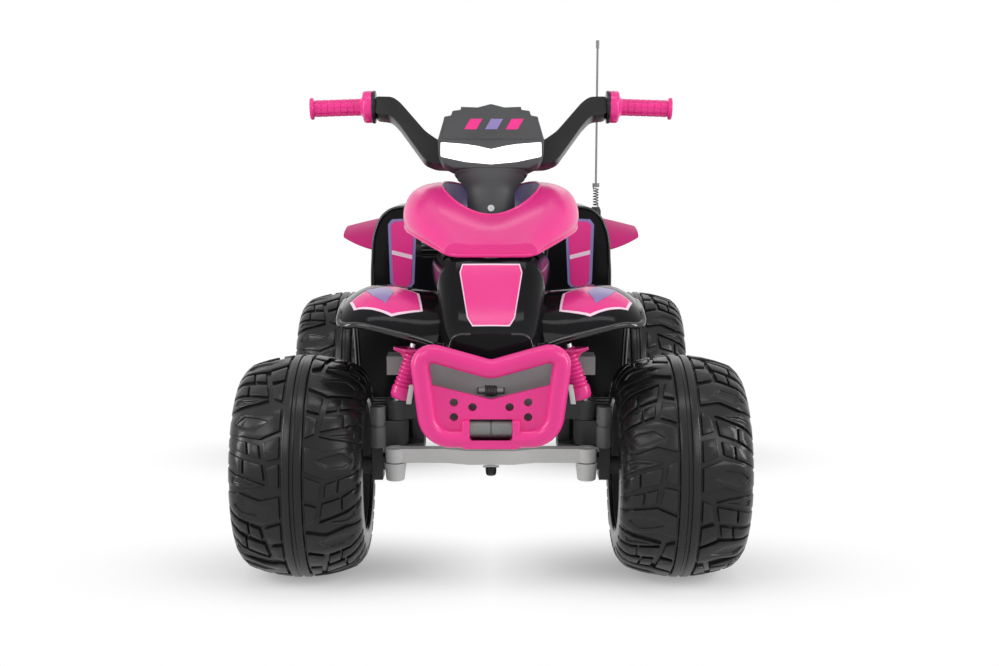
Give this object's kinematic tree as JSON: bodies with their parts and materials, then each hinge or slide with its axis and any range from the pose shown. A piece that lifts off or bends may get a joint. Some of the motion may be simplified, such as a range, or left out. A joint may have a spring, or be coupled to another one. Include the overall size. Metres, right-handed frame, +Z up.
{
  "type": "kids quad bike",
  "caption": "Battery ride-on quad bike for a child, with handlebar steering, fat moulded tyres, saddle, bumper, dummy shocks and an antenna.",
  "frame": {"origin": "on the floor under the middle of the overall box", "axes": "+Z up, -Y the way the bike faces, +X the rider's left side"},
  "size_m": [0.8004, 1.17, 0.877],
  "materials": {
    "pink_gloss": "gloss moulded polypropylene",
    "black_gloss": "gloss moulded polypropylene",
    "seat_black": "grained moulded plastic",
    "dark_grey": "satin moulded plastic",
    "mid_grey": "satin moulded plastic",
    "light_grey": "satin moulded plastic",
    "black_matte": "matte moulded plastic",
    "tyre_black": "satin blow-moulded plastic",
    "white_lens": "clear and white lens",
    "steel": "zinc plated",
    "frame_black": "powder coat",
    "gear_white": "nylon",
    "battery_case": "sealed battery case",
    "mast_grey": "fibre rod with sleeve"
  },
  "bodies": {
    "chassis": {"main_frame": "frame_black", "axle_beam": "dark_grey", "kingpins": "steel", "column_bushes": "light_grey", "hood": "pink_gloss", "front_body": "black_gloss", "tank_cover": "black_gloss", "rear_body": "black_gloss", "rear_flares": "pink_gloss", "seat_hinge_pin": "steel", "footboards": "black_matte", "front_bumper": "pink_gloss", "winch_roller": "mid_grey", "front_plate": "mid_grey", "cross_bar": "mid_grey", "shocks": "pink_gloss", "body_screws": "steel", "gearboxes": "mid_grey", "motors": "steel", "rear_axle": "steel", "battery": "battery_case", "pedal_switch": "black_matte", "antenna_base": "black_matte", "antenna_spring": "steel"},
    "steering": {"steering_column": "steel", "handlebar": "black_matte", "dash_housing": "dark_grey", "headlight_lens": "white_lens", "grip_left": "pink_gloss", "grip_right": "pink_gloss", "grip_plates": "black_matte", "neck_screw": "steel", "crank_nut": "steel"},
    "knuckle_left": {"knuckle_left": "dark_grey", "stub_axle_left": "steel"},
    "knuckle_right": {"knuckle_right": "dark_grey", "stub_axle_right": "steel"},
    "tie_rod": {"tie_rod": "light_grey", "tie_rod_pins": "steel"},
    "wheel_front_left": {"tyre_front_left": "tyre_black", "rim_front_left": "dark_grey", "hub_cap_front_left": "pink_gloss"},
    "wheel_front_right": {"tyre_front_right": "tyre_black", "rim_front_right": "dark_grey", "hub_cap_front_right": "pink_gloss"},
    "wheel_rear_left": {"tyre_rear_left": "tyre_black", "rim_rear_left": "dark_grey", "hub_cap_rear_left": "pink_gloss", "drive_gear_left": "gear_white"},
    "wheel_rear_right": {"tyre_rear_right": "tyre_black", "rim_rear_right": "dark_grey", "hub_cap_rear_right": "pink_gloss", "drive_gear_right": "gear_white"},
    "pinion_left": {"pinion_left": "gear_white"},
    "pinion_right": {"pinion_right": "gear_white"},
    "pedal": {"pedal": "black_matte"},
    "gear_lever": {"gear_lever": "black_matte"},
    "seat": {"seat": "seat_black"},
    "antenna": {"antenna_mast": "mast_grey"},
    "light_button": {"light_button": "black_matte"}
  },
  "joints": [
    {"name": "steering", "type": "hinge", "parent": "chassis", "child": "steering", "pos_m": [0, -0.35942, 0.22948], "axis": [0, 0.342, 0.9397], "range_deg": [-22, 22]},
    {"name": "knuckle_left_steer", "type": "hinge", "parent": "chassis", "child": "knuckle_left", "pos_m": [0.15, -0.37, 0.235], "axis": [0, 0, 1], "range_deg": [-22.1, 22.1]},
    {"name": "knuckle_right_steer", "type": "hinge", "parent": "chassis", "child": "knuckle_right", "pos_m": [-0.15, -0.37, 0.235], "axis": [0, 0, 1], "range_deg": [-22.1, 22.1]},
    {"name": "tie_rod_pivot", "type": "hinge", "parent": "knuckle_left", "child": "tie_rod", "pos_m": [0.15, -0.43, 0.211], "axis": [0, 0, 1], "range_deg": [-22.1, 22.1]},
    {"name": "wheel_front_left_spin", "type": "hinge", "parent": "knuckle_left", "child": "wheel_front_left", "pos_m": [0.298, -0.37, 0.178], "axis": [1, 0, 0], "continuous": true},
    {"name": "wheel_front_right_spin", "type": "hinge", "parent": "knuckle_right", "child": "wheel_front_right", "pos_m": [-0.298, -0.37, 0.178], "axis": [1, 0, 0], "continuous": true},
    {"name": "wheel_rear_left_spin", "type": "hinge", "parent": "chassis", "child": "wheel_rear_left", "pos_m": [0.298, 0.37, 0.178], "axis": [1, 0, 0], "continuous": true},
    {"name": "wheel_rear_right_spin", "type": "hinge", "parent": "chassis", "child": "wheel_rear_right", "pos_m": [-0.298, 0.37, 0.178], "axis": [1, 0, 0], "continuous": true},
    {"name": "pinion_left_spin", "type": "hinge", "parent": "chassis", "child": "pinion_left", "pos_m": [0.156, 0.31804, 0.208], "axis": [1, 0, 0], "continuous": true},
    {"name": "pinion_right_spin", "type": "hinge", "parent": "chassis", "child": "pinion_right", "pos_m": [-0.156, 0.31804, 0.208], "axis": [1, 0, 0], "continuous": true},
    {"name": "pedal_press", "type": "hinge", "parent": "chassis", "child": "pedal", "pos_m": [-0.15, -0.008, 0.237], "axis": [1, 0, 0], "range_deg": [0, 12], "stiffness_Nm_per_rad": 0.6, "springref_deg": -17.19},
    {"name": "gear_lever_swing", "type": "hinge", "parent": "chassis", "child": "gear_lever", "pos_m": [-0.1315, -0.03, 0.49], "axis": [1, 0, 0], "range_deg": [-15, 15]},
    {"name": "seat_hinge", "type": "hinge", "parent": "chassis", "child": "seat", "pos_m": [0, 0.44, 0.418], "axis": [-1, 0, 0], "range_deg": [0, 65]},
    {"name": "antenna_flex", "type": "hinge", "parent": "chassis", "child": "antenna", "pos_m": [0.216, 0.33, 0.56], "axis": [1, 0, 0], "range_deg": [-25, 25], "stiffness_Nm_per_rad": 0.3, "deforming": ["antenna_spring"]},
    {"name": "light_button_press", "type": "slide", "parent": "steering", "child": "light_button", "axis": [0, -0.9397, 0.342], "range_m": [0, 0.0035], "stiffness_N_per_m": 300, "springref_m": -0.003}
  ],
  "couplings": [
    {"joint": "knuckle_left_steer", "follows": "steering", "ratio": 1},
    {"joint": "knuckle_right_steer", "follows": "steering", "ratio": 1},
    {"joint": "tie_rod_pivot", "follows": "steering", "ratio": -1},
    {"joint": "pinion_left_spin", "follows": "wheel_rear_left_spin", "ratio": -3.2857},
    {"joint": "pinion_right_spin", "follows": "wheel_rear_right_spin", "ratio": -3.2857}
  ]
}
